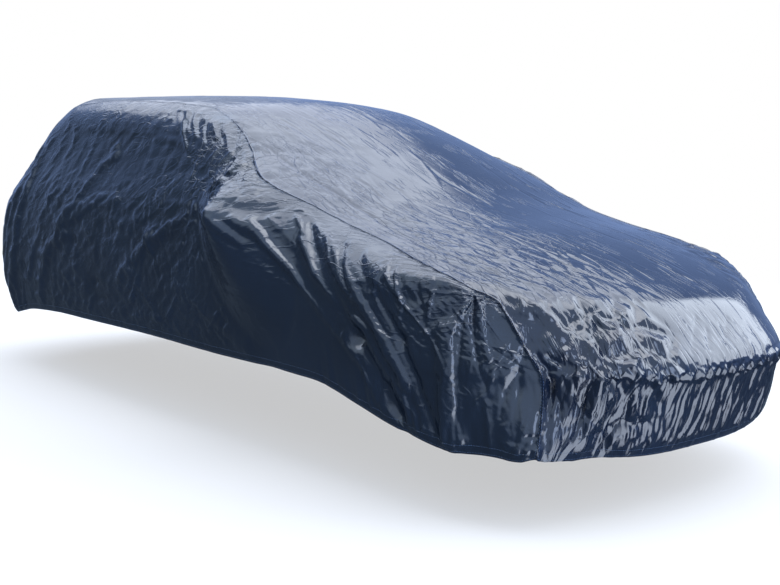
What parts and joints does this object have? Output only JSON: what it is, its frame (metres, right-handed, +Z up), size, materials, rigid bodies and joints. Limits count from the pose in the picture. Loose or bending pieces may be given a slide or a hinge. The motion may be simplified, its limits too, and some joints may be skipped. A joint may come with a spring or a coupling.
{
  "type": "car cover",
  "caption": "Fitted full car cover of thin dark navy coated taffeta, hanging hollow in a car's shape, with bulges over the mirrors and gathered hems.",
  "frame": {"origin": "inner face of the cover's roof, on its middle line, where it lies on the car's roof", "axes": "+X to the nose, +Y to the car's left side, +Z up"},
  "size_m": [4.7134, 2.0372, 1.2992],
  "materials": {
    "top_taffeta": "thin glossy coated navy taffeta",
    "side_taffeta": "thin glossy coated navy taffeta"
  },
  "bodies": {
    "root": {"top_panel": "top_taffeta", "side_panel_right": "side_taffeta", "side_panel_left": "side_taffeta"}
  },
  "joints": []
}
